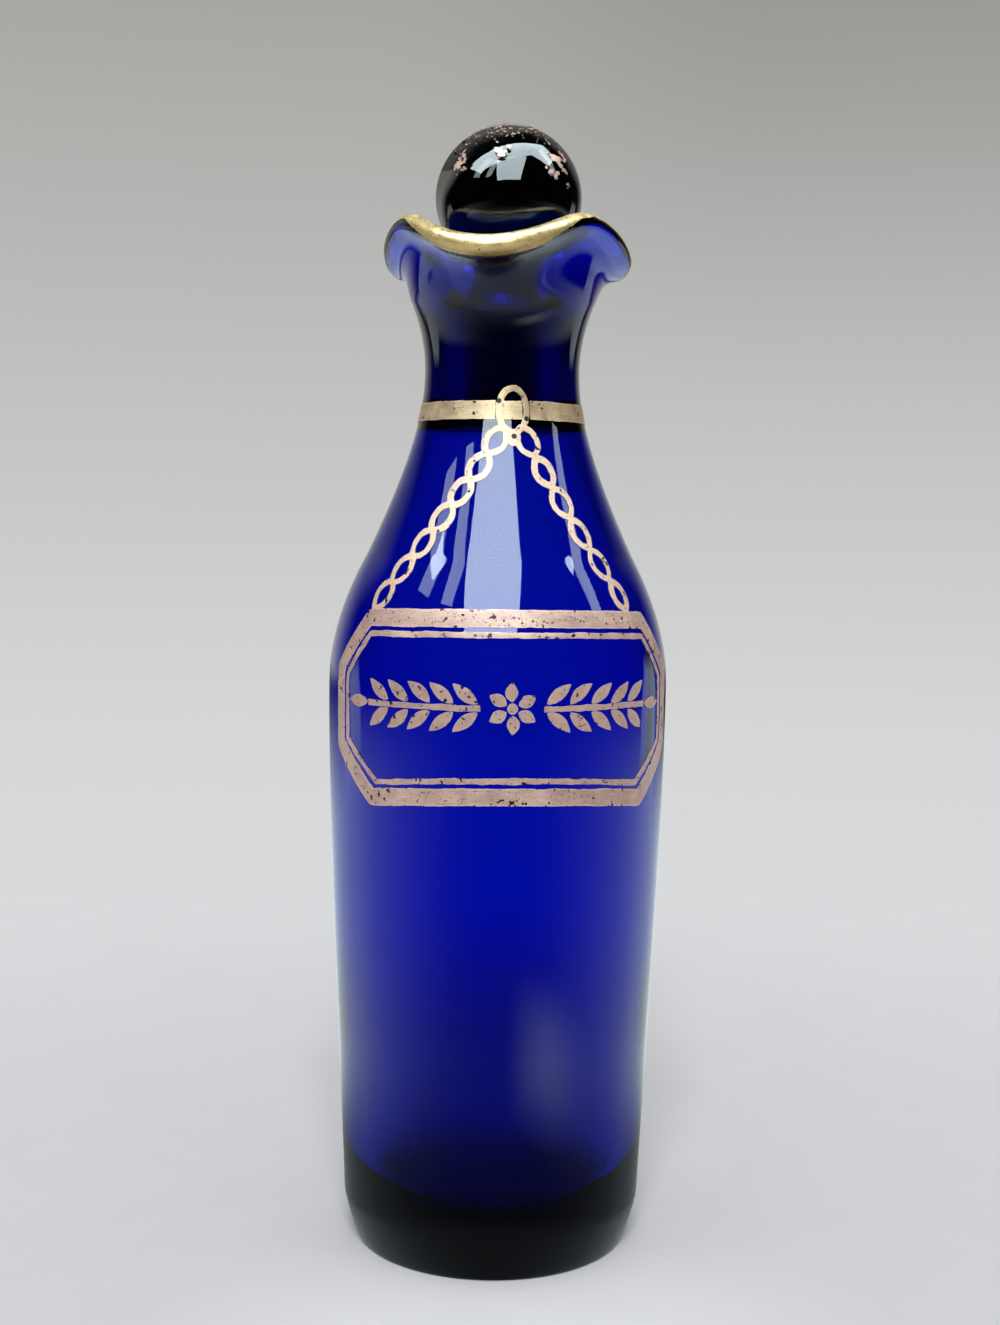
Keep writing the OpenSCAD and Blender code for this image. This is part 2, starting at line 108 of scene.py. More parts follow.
FOOT_SLOPE, SIDE_SLOPE, TURN_SLOPE = (1, 1), (0.045, 1), (-0.47, 1)
MOUTH_SLOPE, CUP_SLOPE = (0.42, 1), (1.2, 1)
OUTLINE = (
    [REST]
    + curve(REST, FOOT_SLOPE, FOOT, SIDE_SLOPE, (0.07, 0.23), 10)
    + curve(FOOT, SIDE_SLOPE, WIDEST, UP, (0.43, 0.26), 40)
    + curve(WIDEST, UP, TURN, TURN_SLOPE, (0.47, 0.1), 16)
    + curve(TURN, TURN_SLOPE, NECK, UP, (0.65, 0.15), 24)
    + curve(NECK, UP, MOUTH, MOUTH_SLOPE, (0.38, 0.22), 10)
)


def glass_r(z):
    """Outer radius of the glass at a height, in millimetres."""
    for (r0, z0), (r1, z1) in zip(OUTLINE, OUTLINE[1:]):
        if z0 <= z <= z1:
            return r0 + (r1 - r0) * (z - z0) / max(z1 - z0, 1e-9)
    return OUTLINE[-1][0] if z > OUTLINE[-1][1] else OUTLINE[0][0]


def smooth(k):
    k = min(max(k, 0.0), 1.0)
    return k * k * (3 - 2 * k)


def ripple(a, z, depth):
    """How far the blown surface lies inside its true round, at most twice the depth."""
    s, c = sin(radians(a)), cos(radians(a))
    slow = noise.noise(Vector((s * 1.6, c * 1.6, z / 38)))
    fine = noise.noise(Vector((s * 4.2 + 7, c * 4.2, z / 15)))
    return -depth * (1 + max(-1, min(1, 0.75 * slow + 0.45 * fine)))


def dip(a):
    return (1 + cos(radians(3 * (a - LIP_TURN)))) / 2


def front(a):
    """1 in the middle of the lip's front dip, 0 from the peaks beside it round to the back."""
    return dip(a) if abs((a - LIP_TURN + 540) % 360 - 180) < 60 else 0.0


def edge(a):
    """Middle of the lip's rolled edge at an angle, its direction and its outward normal."""
    k = dip(a)
    r, z, lean = (PEAK[i] + (DIP[i] - PEAK[i]) * k for i in range(3))
    w = (sin(radians(lean)), cos(radians(lean)))
    return (r, z), w, (w[1], -w[0])


def edge_round(a, turn, radius):
    (r, z), w, out = edge(a)
    c, s = cos(radians(turn)), sin(radians(turn))
    return (r + radius * (c * out[0] + s * w[0]), z + radius * (c * out[1] + s * w[1]))


def lip_section(a):
    """The lip from the mouth's outer edge over the rolled edge to the seat."""
    _, w, _ = edge(a)
    start, end = edge_round(a, 0, LIP_T / 2), edge_round(a, 180, LIP_T / 2)
    foot = (SEAT_R + CHAMFER, MOUTH[1])
    return (
        curve(MOUTH, MOUTH_SLOPE, start, w, (0.38, 0.38), OUTER)
        + [edge_round(a, 180 * i / ROLLED, LIP_T / 2) for i in range(1, ROLLED + 1)]
        + curve(end, (-w[0], -w[1]), foot, (-CUP_SLOPE[0], -CUP_SLOPE[1]), (0.38, 0.38), INNER)
    )


def place(r, a, z):
    """A point at a radius, an angle and a height in millimetres, in metres."""
    a = radians(a)
    return Vector((r * sin(a), -r * cos(a), z)) * MM


def angle_of(co):
    return degrees(math.atan2(co.x, -co.y))


# Tools of the bench


def deselect():
    if bpy.context.mode != "OBJECT":
        mode("OBJECT")
    bpy.ops.object.select_all(action="DESELECT")


def only(obj):
    deselect()
    obj.select_set(True)
    bpy.context.view_layer.objects.active = obj


def mode(name):
    bpy.ops.object.mode_set(mode=name)


def select_all(action="SELECT"):
    bpy.ops.mesh.select_all(action=action)


def thicken(obj, thickness):
    """Gives a skin its thickness, inwards, and shades it."""
    only(obj)
    m = obj.modifiers.new("Thickness", "SOLIDIFY")
    m.thickness, m.offset = thickness * MM, -1
    bpy.ops.object.modifier_apply(modifier=m.name)
    bpy.ops.object.shade_smooth_by_angle(angle=radians(50))


def flip():
    """Turns the faces of the active object round."""
    mode("EDIT")
    select_all()
    bpy.ops.mesh.flip_normals()
    mode("OBJECT")


def named(name):
    obj = bpy.context.active_object
    obj.name = obj.data.name = name
    return obj


def set_ring(obj, at):
    """Sets each selected vertex where at says for its angle."""
    bm = bmesh.from_edit_mesh(obj.data)
    for v in bm.verts:
        if v.select:
            v.co = at(angle_of(v.co))
    bmesh.update_edit_mesh(obj.data)


def next_ring(obj, at):
    """Extrudes the selected ring and sets the new one."""
    bpy.ops.mesh.extrude_region_move()
    set_ring(obj, at)


def start_disc(name, radius, rim_z, mid_z):
    """A disc with a point in the middle, open at its rim, with the rim selected in edit mode."""
    deselect()
    bpy.ops.mesh.primitive_circle_add(vertices=ROUND, radius=radius * MM, fill_type="TRIFAN")
    obj = named(name)
    mode("EDIT")
    select_all("DESELECT")
    bpy.ops.mesh.select_mode(type="VERT")
    bm = bmesh.from_edit_mesh(obj.data)
    for v in bm.verts:
        v.select = v.co.length > radius * MM / 2
        v.co.z = (rim_z if v.select else mid_z) * MM
    bm.select_flush_mode()
    bmesh.update_edit_mesh(obj.data)
    return obj


def close_and_smooth(angle=40):
    """Merges the last ring to a point, turns the faces outwards and shades them."""
    bpy.ops.mesh.merge(type="CENTER")
    select_all()
    bpy.ops.mesh.remove_doubles(threshold=1e-7)
    bpy.ops.mesh.normals_make_consistent(inside=False)
    mode("OBJECT")
    bpy.ops.object.shade_smooth_by_angle(angle=radians(angle))


def on_glass(a, b):
    """Length on the glass from one [angle, height] point to the next, in millimetres."""
    return hypot((b[0] - a[0]) * radians(glass_r(b[1])), b[1] - a[1])


def ribbon(name, path, halves, closed=False, strips=6, lift=0.0):
    """A gilded stroke. path holds [angle, height] points and halves its half widths on each side, in
    millimetres. lift raises it over the other gilding."""
    low_h, high_h = (h + lift for h in gilt_heights())
    count = len(path)
    steps = count if closed else count - 1
    deselect()
    bpy.ops.mesh.primitive_grid_add(x_subdivisions=strips, y_subdivisions=steps, size=1, calc_uvs=True)
    obj = named(name)
    rows, lengths, total = [], [], 0.0
    for i, p in enumerate(path):
        before = path[(i - 1) % count] if closed or i else p
        after = path[(i + 1) % count] if closed or i < count - 1 else p
        k = radians(glass_r(p[1]))
        u = unit(((after[0] - before[0]) * k, after[1] - before[1]))
        rows.append((p, (-u[1] / k, u[0])))
        if i:
            total += on_glass(path[i - 1], p)
        lengths.append(total)
    if closed:
        lengths.append(total)
    mesh = obj.data
    spots = {}
    for v in mesh.vertices:
        t, w = round((v.co.y + 0.5) * steps), (v.co.x + 0.5) * 2 - 1
        (a, z), side = rows[t % count]
        low, high = halves[t % count]
        reach = high * w if w > 0 else low * w
        a, z = a + side[0] * reach, z + side[1] * reach
        h = low_h + (high_h - low_h) * (1 - w * w) ** 0.5 if abs(w) < 1 else low_h
        spots[v.index] = (w, lengths[t])
        v.co = place(glass_r(z) + ripple(a, z, glass_settings().ripple_depth / MM) + h, a, z)
    layer = mesh.uv_layers.active
    for loop in mesh.loops:
        w, s = spots[loop.vertex_index]
        layer.data[loop.index].uv = (w * 0.5 + 0.5, s * 0.1)
    only(obj)
    mode("EDIT")
    select_all()
    if closed:
        bpy.ops.mesh.remove_doubles(threshold=2e-6)
    mode("OBJECT")
    middle = mesh.polygons[len(mesh.polygons) // 2]
    if middle.normal.dot(Vector((middle.center.x, middle.center.y, 0))) < 0:
        flip()
    thicken(obj, GOLD_T)
    return obj


def joined(name, parts):
    only(parts[0])
    for p in parts:
        p.select_set(True)
    bpy.ops.object.join()
    return named(name)


def arc(s, z):
    """Degrees that a length along the glass takes up at a height."""
    return degrees(s / glass_r(z))


def wander(seed, s, size, depth):
    """A brush's wandering, from one number along the stroke."""
    return depth * (0.7 * noise.noise(Vector((s / size, seed * 3.7, 0.5)))
                    + 0.5 * noise.noise(Vector((s / size * 3.1, seed * 5.3, 4.5)))
                    + 0.4 * noise.noise(Vector((s / size * 7.3, seed * 2.9, 8.5))))


def brushed(path, half, seed, wobble, size=2.2):
    """Half widths on both sides of a path, as a brush lays them."""
    out, s = [], 0.0
    for i, p in enumerate(path):
        if i:
            s += on_glass(path[i - 1], p)
        h = half[i] if isinstance(half, list) else half
        out.append(tuple(max(h + wander(side, s, size, wobble), 0.03) for side in (seed, seed + 9)))
    return out


# Materials


class Nodes:
    """The nodes of a new material, or of the world, with short calls for the ones in use."""

    def __init__(self, name, world=None):
        self.mat = world or bpy.data.materials.new(name)
        self.mat.use_nodes = True
        self.tree = self.mat.node_tree
        self.tree.nodes.clear()
        self.out = self.add("ShaderNodeOutputWorld" if world else "ShaderNodeOutputMaterial")
        self.place = self.add("ShaderNodeTexCoord").outputs

    def add(self, kind, **settings):
        n = self.tree.nodes.new(kind)
        for k, v in settings.items():
            setattr(n, k, v)
        return n

    def link(self, a, b):
        self.tree.links.new(a, b)

    def set(self, socket, value):
        if isinstance(value, bpy.types.NodeSocket):
            self.link(value, socket)
        else:
            socket.default_value = value

    def mapping(self, scale, rotation=(0, 0, 0), source=None):
        m = self.add("ShaderNodeMapping")
        m.inputs["Scale"].default_value = scale
        m.inputs["Rotation"].default_value = rotation
        self.link(source or self.place["Object"], m.inputs["Vector"])
        return m.outputs["Vector"]

    def noise(self, scale, vector=None, detail=3.0, rough=0.55):
        n = self.add("ShaderNodeTexNoise")
        n.inputs["Scale"].default_value = scale
        n.inputs["Detail"].default_value = detail
        n.inputs["Roughness"].default_value = rough
        self.link(vector or self.place["Object"], n.inputs["Vector"])
        return n.outputs[0]

    def xyz(self, vector):
        n = self.add("ShaderNodeSeparateXYZ")
        self.link(vector, n.inputs[0])
        return n.outputs

    def vector(self, operation, vector, output, **inputs):
        n = self.add("ShaderNodeVectorMath", operation=operation)
        self.set(n.inputs[0], vector)
        for key, v in inputs.items():
            self.set(n.inputs[key], v)
        return n.outputs[output]

    def span(self, value, low, high, to_low=0.0, to_high=1.0, smoothed=True):
        n = self.add("ShaderNodeMapRange", clamp=True)
        n.interpolation_type = "SMOOTHSTEP" if smoothed else "LINEAR"
        self.set(n.inputs["Value"], value)
        for key, v in (("From Min", low), ("From Max", high), ("To Min", to_low), ("To Max", to_high)):
            n.inputs[key].default_value = v
        return n.outputs["Result"]

    def math(self, op, a, b=0.0):
        n = self.add("ShaderNodeMath", operation=op)
        self.set(n.inputs[0], a)
        self.set(n.inputs[1], b)
        return n.outputs[0]

    def sum(self, a, *more):
        for b in more:
            a = self.math("ADD", a, b)
        return a

    def product(self, a, *more):
        for b in more:
            a = self.math("MULTIPLY", a, b)
        return a

    def mix(self, factor, a, b):
        n = self.add("ShaderNodeMix", data_type="RGBA")
        self.set(n.inputs["Factor"], factor)
        for socket, v in zip((s for s in n.inputs if s.type == "RGBA"), (a, b)):
            self.set(socket, v)
        return [s for s in n.outputs if s.type == "RGBA"][0]

    def bump(self, height, distance, strength):
        n = self.add("ShaderNodeBump")
        n.inputs["Strength"].default_value = strength
        n.inputs["Distance"].default_value = distance
        self.link(height, n.inputs["Height"])
        return n.outputs["Normal"]


def glass(name, absorb, density, ground):
    """Cobalt glass: clear surfaces, colour by depth, and a frosted band where it is ground.

    ground is the band's lowest and highest place and its largest radius, in metres."""
    n = Nodes(name)
    bsdf = n.add("ShaderNodeBsdfPrincipled")
    bsdf.inputs["Base Color"].default_value = (1, 1, 1, 1)
    bsdf.inputs["Transmission Weight"].default_value = 1.0
    bsdf.inputs["IOR"].default_value = 1.5
    x, y, z = n.xyz(n.place["Object"])
    radius = n.math("SQRT", n.sum(n.product(x, x), n.product(y, y)))
    low, high, widest = ground
    band = n.product(n.span(z, low - 0.0003, low + 0.0003), n.span(z, high + 0.0002, high - 0.0004),
                     n.span(radius, widest + 0.0003, widest))
    smudge = n.span(n.noise(140, detail=5, rough=0.6), 0.5, 0.75, 0.0, 0.035)
    foot = n.span(z, 0.006, 0.0, 0.0, 0.06)
    grain = n.noise(9000, detail=2)
    rough = n.sum(smudge, foot, n.product(band, n.span(grain, 0.3, 0.7, 0.3, 0.5)))
    n.link(rough, bsdf.inputs["Roughness"])
    drawn = n.noise(1, n.mapping((240, 240, 60)), detail=2)
    scratch = n.noise(1, n.mapping((2600, 2600, 90), rotation=(0.3, 0.2, 0)), detail=1)
    height = n.sum(drawn, n.product(n.span(scratch, 0.68, 0.74), 0.06))
    n.link(n.bump(height, 0.00002, 0.35), bsdf.inputs["Normal"])
    volume = n.add("ShaderNodeVolumeAbsorption")
    volume.inputs["Color"].default_value = (*absorb, 1)
    volume.inputs["Density"].default_value = density
    n.link(bsdf.outputs[0], n.out.inputs["Surface"])
    n.link(volume.outputs[0], n.out.inputs["Volume"])
    return n.mat


# Colours for the low side of a stroke, where the gold is thin and also darkened by painted shade, darker
# still at its very edge, and for where the gold is gone
THIN_AND_SHADED_OLIVE, WORN_AND_SHADED_EDGE, BARE_GLASS = (0.20, 0.12, 0.03, 1), (0.05, 0.02, 0.03, 1), (0.012, 0.006, 0.020, 1)


def gilding(name, pale, brown, wear=1.0, rough=0.42, metal=0.20, under=0.0, bare=()):
    """Fired gold, brushed on by hand: mottled, streaked along the brush, pitted and worn through.

    under is the share of the stroke's width, at its low side, that is darkened: partly thin, worn gold and
    partly painted shade on the side that turns down. bare lists places where it is rubbed through, each as
    a point and a radius in metres."""
    n = Nodes(name)
    bsdf = n.add("ShaderNodeBsdfPrincipled")
    bsdf.inputs["Specular IOR Level"].default_value = 0.25
    mottle = n.noise(520, detail=5, rough=0.65)
    fine = n.noise(2800, detail=3, rough=0.6)
    streak = n.noise(1, n.mapping((22, 2.6, 1), source=n.place["UV"]), detail=4, rough=0.6)
    slow = n.noise(110, detail=2)
    tone = n.sum(n.product(mottle, 0.25), n.product(streak, 0.40), n.product(slow, 0.35))
    colour = n.mix(n.span(tone, 0.37, 0.64), (*brown, 1), (*pale, 1))
    # The brush left a paler, thicker line at both edges of a stroke
    across = n.xyz(n.place["UV"])[0]
    edge_line = n.span(n.math("ABSOLUTE", n.math("SUBTRACT", across, 0.5)), 0.40, 0.47, 0.0, 0.55)
    colour = n.mix(edge_line, colour, (*(min(c * 1.12, 1) for c in pale), 1))
    # Thin gold and painted shade: the stroke's low side darkens to olive, and to near black at its very
    # edge
    if under:
        colour = n.mix(n.span(across, under * 1.7, under * 0.7, 0.0, 0.8), colour, THIN_AND_SHADED_OLIVE)
        colour = n.mix(n.span(across, under * 0.55, under * 0.35), colour, WORN_AND_SHADED_EDGE)
    pits = n.span(n.noise(1150, detail=2, rough=0.5), 0.70 - 0.06 * wear, 0.73 - 0.05 * wear)
    dots = n.span(n.noise(3400, detail=1), 0.725 - 0.05 * wear, 0.76 - 0.05 * wear)
    lengthwise = n.noise(1, n.mapping((9, 30, 1), source=n.place["UV"]), detail=3)
    lengthwise = n.sum(lengthwise, n.product(fine, 0.25))
    rubbed = n.span(lengthwise, 0.88 - 0.06 * wear, 0.92 - 0.06 * wear, 0.0, 0.8)
    holes = n.math("MAXIMUM", n.math("MAXIMUM", pits, dots), rubbed)
    for spot, radius in bare:
        away = n.add("ShaderNodeVectorMath", operation="DISTANCE")
        n.link(n.place["Object"], away.inputs[0])
        away.inputs[1].default_value = spot
        holes = n.math("MAXIMUM", holes, n.span(away.outputs["Value"], radius * 1.15, radius * 0.8))
    colour = n.mix(holes, colour, BARE_GLASS)
    n.link(colour, bsdf.inputs["Base Color"])
    n.link(n.product(n.math("SUBTRACT", 1.0, holes), metal), bsdf.inputs["Metallic"])
    uneven = n.sum(mottle, n.product(fine, 0.35))
    n.link(n.span(uneven, 0.45, 0.95, rough - 0.08, rough + 0.14), bsdf.inputs["Roughness"])
    height = n.math("SUBTRACT", n.sum(n.product(streak, 0.8), fine), n.product(holes, 1.5))
    n.link(n.bump(height, 0.00003, 0.15 + 0.35 * wear), bsdf.inputs["Normal"])
    n.link(bsdf.outputs[0], n.out.inputs["Surface"])
    return n.mat


def dress(obj, material, slot_name, *nodes):
    obj.data.materials.clear()
    obj.data.materials.append(material)
    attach(obj, "root")
    if nodes:
        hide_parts(*nodes)


# Settings


def measure(name, description, default, low, high):
    return FloatProperty(name=name, description=description, default=default, min=low, max=high,
                         unit="LENGTH", precision=5)


def amount(name, description, default, high):
    return FloatProperty(name=name, description=description, default=default, min=0, max=high)


def tint(name, description, *default):
    return FloatVectorProperty(name=name, description=description, subtype="COLOR", size=3, min=0, max=1,
                               default=default)


class BottleGlassSettings(bpy.types.PropertyGroup):
    wall: measure("Wall", "Thickness of the side wall", 0.0026, 0.0015, 0.004)
    ripple_depth: measure("Ripple", "Depth of the hand-blown ripple on the glass", 0.00003, 0, 0.0002)
    colour: tint("Colour", "Colour that light keeps in deep glass", 0.0, 0.33, 0.91)
    density: amount("Depth of colour", "How fast the glass takes light, per metre", 1500, 4000)
    stopper_colour: tint("Stopper's colour", "Colour that light keeps in the stopper", 0.0, 0.10, 0.70)
    stopper_density: amount("Stopper's depth of colour", "How fast the stopper takes light, per metre",
                            1500, 4000)


class BottleGiltSettings(bpy.types.PropertyGroup):
    pale: tint("Pale gold", "Colour of the label's sound gilding", 0.66, 0.47, 0.37)
    brown: tint("Brown gold", "Colour of the label's thin, rubbed gilding", 0.41, 0.27, 0.235)
    cream: tint("Cream gold", "Colour of the chain's sound gilding", 0.74, 0.56, 0.38)
    yellow: tint("Yellow gold", "Colour of the rim's sound gilding", 0.92, 0.74, 0.33)
    ochre: tint("Ochre gold", "Colour of the rim's thin, rubbed gilding", 0.60, 0.43, 0.20)
    straw: tint("Straw gold", "Colour of the neck band's sound gilding", 0.64, 0.49, 0.30)
    tan: tint("Tan gold", "Colour of the neck band's thin, rubbed gilding", 0.42, 0.29, 0.17)
    edge_height: measure("Edge", "Height of the gilding's edge over the glass", 0.00010, 0.00008, 0.0002)
    middle_height: measure("Middle", "Height of the gilding's middle over the glass",
                           0.00011, 0.0001, 0.0002)
    wobble: measure("Wobble", "How far the brush strays at a stroke's edges", 0.00022, 0, 0.0006)
    links_left: IntProperty(name="Left links", description="Links of the left chain",
                            default=7, min=1, max=9)
    links_right: IntProperty(name="Right links", description="Links of the right chain",
                             default=6, min=1, max=8)


class BottleStageSettings(bpy.types.PropertyGroup):
    backdrop_high: tint("Backdrop, top", "Colour high on the backdrop", 0.375, 0.375, 0.355)
    backdrop_mid: tint("Backdrop, middle", "Colour at the foot of the backdrop", 0.70, 0.705, 0.715)
    backdrop_low: tint("Backdrop, floor", "Colour of the floor that runs back to it", 0.62, 0.63, 0.65)
    floor_colour: tint("Floor", "Colour of the floor", 0.729, 0.734, 0.754)
    window: amount("Window light", "Strength of the panels that the glass mirrors", 11.5, 20)
    key: amount("Key light", "Strength of the soft light from above the camera", 25.2, 60)


def glass_settings():
    return bpy.context.scene.bottle_glass


def gilt_settings():
    return bpy.context.scene.bottle_gilt


def stage_settings():
    return bpy.context.scene.bottle_stage


def gilt_heights():
    s = gilt_settings()
    return s.edge_height / MM, s.middle_height / MM


def stray():
    """How far the brush strays, in millimetres."""
    return gilt_settings().wobble / MM


class BOTTLE_OT_glass(bpy.types.Operator):
    """Blow the bottle: base, side, shoulder, neck, wavy lip, and the hollow inside"""
    bl_idname = "bottle.glass"
    bl_label = "Bottle"

    def execute(self, context):
        s = glass_settings()
        wall, depth = s.wall / MM, s.ripple_depth / MM

        def inner(z):
            k = smooth((z - THICK_FROM) / (SEAT_LOW_Z - THICK_FROM))
            gain, below, length = HEAVIER
            return (glass_r(z) - wall - gain * smooth((below - z) / length)) * (1 - k) + SEAT_LOW_R * k

        rest_in = REST[0] - REST_W
        kick_r = (rest_in**2 + KICK**2) / (2 * KICK)
        kick_z = lambda r: KICK - kick_r + math.sqrt(kick_r**2 - r * r)
        first = rest_in / 12
        obj = start_disc("blown_bottle", first, kick_z(first), KICK)
        for i in range(2, 13):
            r = rest_in * i / 12
            next_ring(obj, lambda a, r=r: place(r, a, kick_z(r)))
        for r, z in OUTLINE:
            fade = smooth((z - 3) / 10)
            next_ring(obj, lambda a, r=r, z=z, k=fade: place(r + k * ripple(a, z, depth), a, z))
        sections = {}

        def lip_point(a, i):
            key = round(a * 1000)
            if key not in sections:
                sections[key] = lip_section(a)
            r, z = sections[key][i]
            fade = 1 - smooth((z - MOUTH[1]) / 4) if i < OUTER else 0
            return place(r + fade * ripple(a, z, depth), a, z)

        for i in range(len(lip_section(0))):
            next_ring(obj, lambda a, i=i: lip_point(a, i))
        next_ring(obj, lambda a: place(SEAT_R, a, MOUTH[1] - CHAMFER))
        for i in range(1, 9):
            r, z = along((SEAT_R, MOUTH[1] - CHAMFER), i / 8, (SEAT_LOW_R, SEAT_LOW_Z))
            next_ring(obj, lambda a, r=r, z=z: place(r, a, z))
        throat = [THICK_FROM + (SEAT_LOW_Z - THICK_FROM) * i / 16 for i in range(16)]
        side = [z for _, z in OUTLINE if HEAVY_TOP < z < THICK_FROM] + throat
        floor = curve((0, FLOOR_Z), (1, 0), (inner(HEAVY_TOP), HEAVY_TOP), SIDE_SLOPE, (0.82, 0.58), 44)
        for r, z in [(inner(z), z) for z in reversed(side)] + floor[::-1]:
            fade = 1.5 * smooth(r / 12)
            next_ring(obj, lambda a, r=r, z=z, k=fade: place(r + k * ripple(a + 40, z, depth), a, z))
        bpy.ops.mesh.extrude_region_move(TRANSFORM_OT_translate={"value": (0, 0, -0.02 * MM)})
        close_and_smooth()
        ground = (SEAT_LOW_Z * MM, MOUTH[1] * MM, 0.0066)
        dress(obj, glass("cobalt glass", s.colour, s.density, ground), "blue_glass", "bottle")
        return {"FINISHED"}


class BOTTLE_OT_stopper(bpy.types.Operator):
    """Make the stopper: ground plug, drawn waist and hand-worked ball in one piece"""
    bl_idname = "bottle.stopper"
    bl_label = "Stopper"

    def execute(self, context):
        s = glass_settings()
        # The plug stands clear of the seat by gap and reaches below it by proud
        gap, proud = 0.08, 0.4
        low_z, low_r = SEAT_LOW_Z - proud, SEAT_LOW_R - gap - 0.6 * proud / 14
        top_r = SEAT_R - gap
        points = [(low_r * i / 6, low_z) for i in range(2, 6)]
        points += [(low_r - 0.5, low_z), (low_r - 0.12, low_z + 0.12), (low_r, low_z + 0.5)]
        points += [along((low_r, low_z + 0.5), i / 8, (top_r, MOUTH[1] - CHAMFER)) for i in range(1, 9)]
        waist = (top_r - 0.3, MOUTH[1])
        points.append(waist)
        # The waist swells into the ball without a crease
        join = radians(-58)
        seat = (BALL_R * cos(join) - 0.04, BALL_Z + BALL_R * sin(join))
        points += curve(waist, (-1, 1.5), STEM, UP, (0.4, 0.3), 8)
        points += curve(STEM, UP, seat, (-sin(join), cos(join)), (0.5, 0.35), 8)
        steps = 56
        ball = BALL_R - 0.04
        points += [(ball * cos(t), ball * sin(t) + BALL_Z)
                   for t in (join + (radians(89) - join) * i / steps for i in range(1, steps + 1))]
        obj = start_disc("ball_stopper", low_r / 6, low_z, low_z)
        for r, z in points:
            shift = Vector((BALL_OFF * smooth((z - MOUTH[1]) / 5) * MM, 0, 0))
            worn = 0.35 * smooth((z - 142) / 4)
            next_ring(obj, lambda a, r=r, z=z, d=shift, k=worn: place(
                r + k * ripple(a, z * 2.2, s.ripple_depth / MM) * smooth(r / 4), a, z) + d)
        close_and_smooth(50)
        ground = ((low_z + 0.3) * MM, (MOUTH[1] - CHAMFER) * MM, 0.0075)
        material = glass("deep cobalt glass", s.stopper_colour, s.stopper_density, ground)
        dress(obj, material, "stopper_glass", "stopper")
        return {"FINISHED"}


class BOTTLE_OT_ball_gilding(bpy.types.Operator):
    """Lay the worn flakes of gilding that are left on the crown of the ball"""
    bl_idname = "bottle.ball_gilding"
    bl_label = "Worn gilding on the ball"

    def execute(self, context):
        deselect()
        mid = Vector((BALL_OFF, 0, BALL_Z)) * MM
        bpy.ops.mesh.primitive_uv_sphere_add(segments=320, ring_count=200, radius=(BALL_R - 0.02) * MM,
                                             location=mid)
        obj = named("ball_gilding")
        bpy.ops.object.transform_apply(location=True)
        mode("EDIT")
        select_all("DESELECT")
        bpy.ops.mesh.select_mode(type="FACE")
        bm = bmesh.from_edit_mesh(obj.data)
        for f in bm.faces:
            p = (f.calc_center_median() - mid) / (BALL_R * MM)
            f.select = not self.kept(p)
        bmesh.update_edit_mesh(obj.data)
        bpy.ops.mesh.delete(type="FACE")
        mode("OBJECT")
        thicken(obj, 0.012)
        s = gilt_settings()
        dress(obj, gilding("rubbed gilding", s.pale, s.brown, 1.3, 0.32), "gilding")
        return {"FINISHED"}

    @staticmethod
    def kept(p):
        """Whether gold is left at a point of the unit ball: broken flakes and specks on the crown."""
        broken = noise.noise(p * 5.5 + Vector((3.1, 0.7, 5.2)))
        broken += 0.7 * noise.noise(p * 13) + 0.5 * noise.noise(p * 30)
        for middle, reach in BALL_FLAKES:
            away = (p - Vector(middle).normalized()).length
            if broken > -0.55 + 1.25 * away / reach:
                return True
        specks = noise.noise(p * 21 + Vector((1.3, 4.4, 0.2))) + 0.6 * noise.noise(p * 46)
        return p.z > 0.3 and specks > 0.86 - 0.55 * smooth((p.z - 0.45) / 0.45)


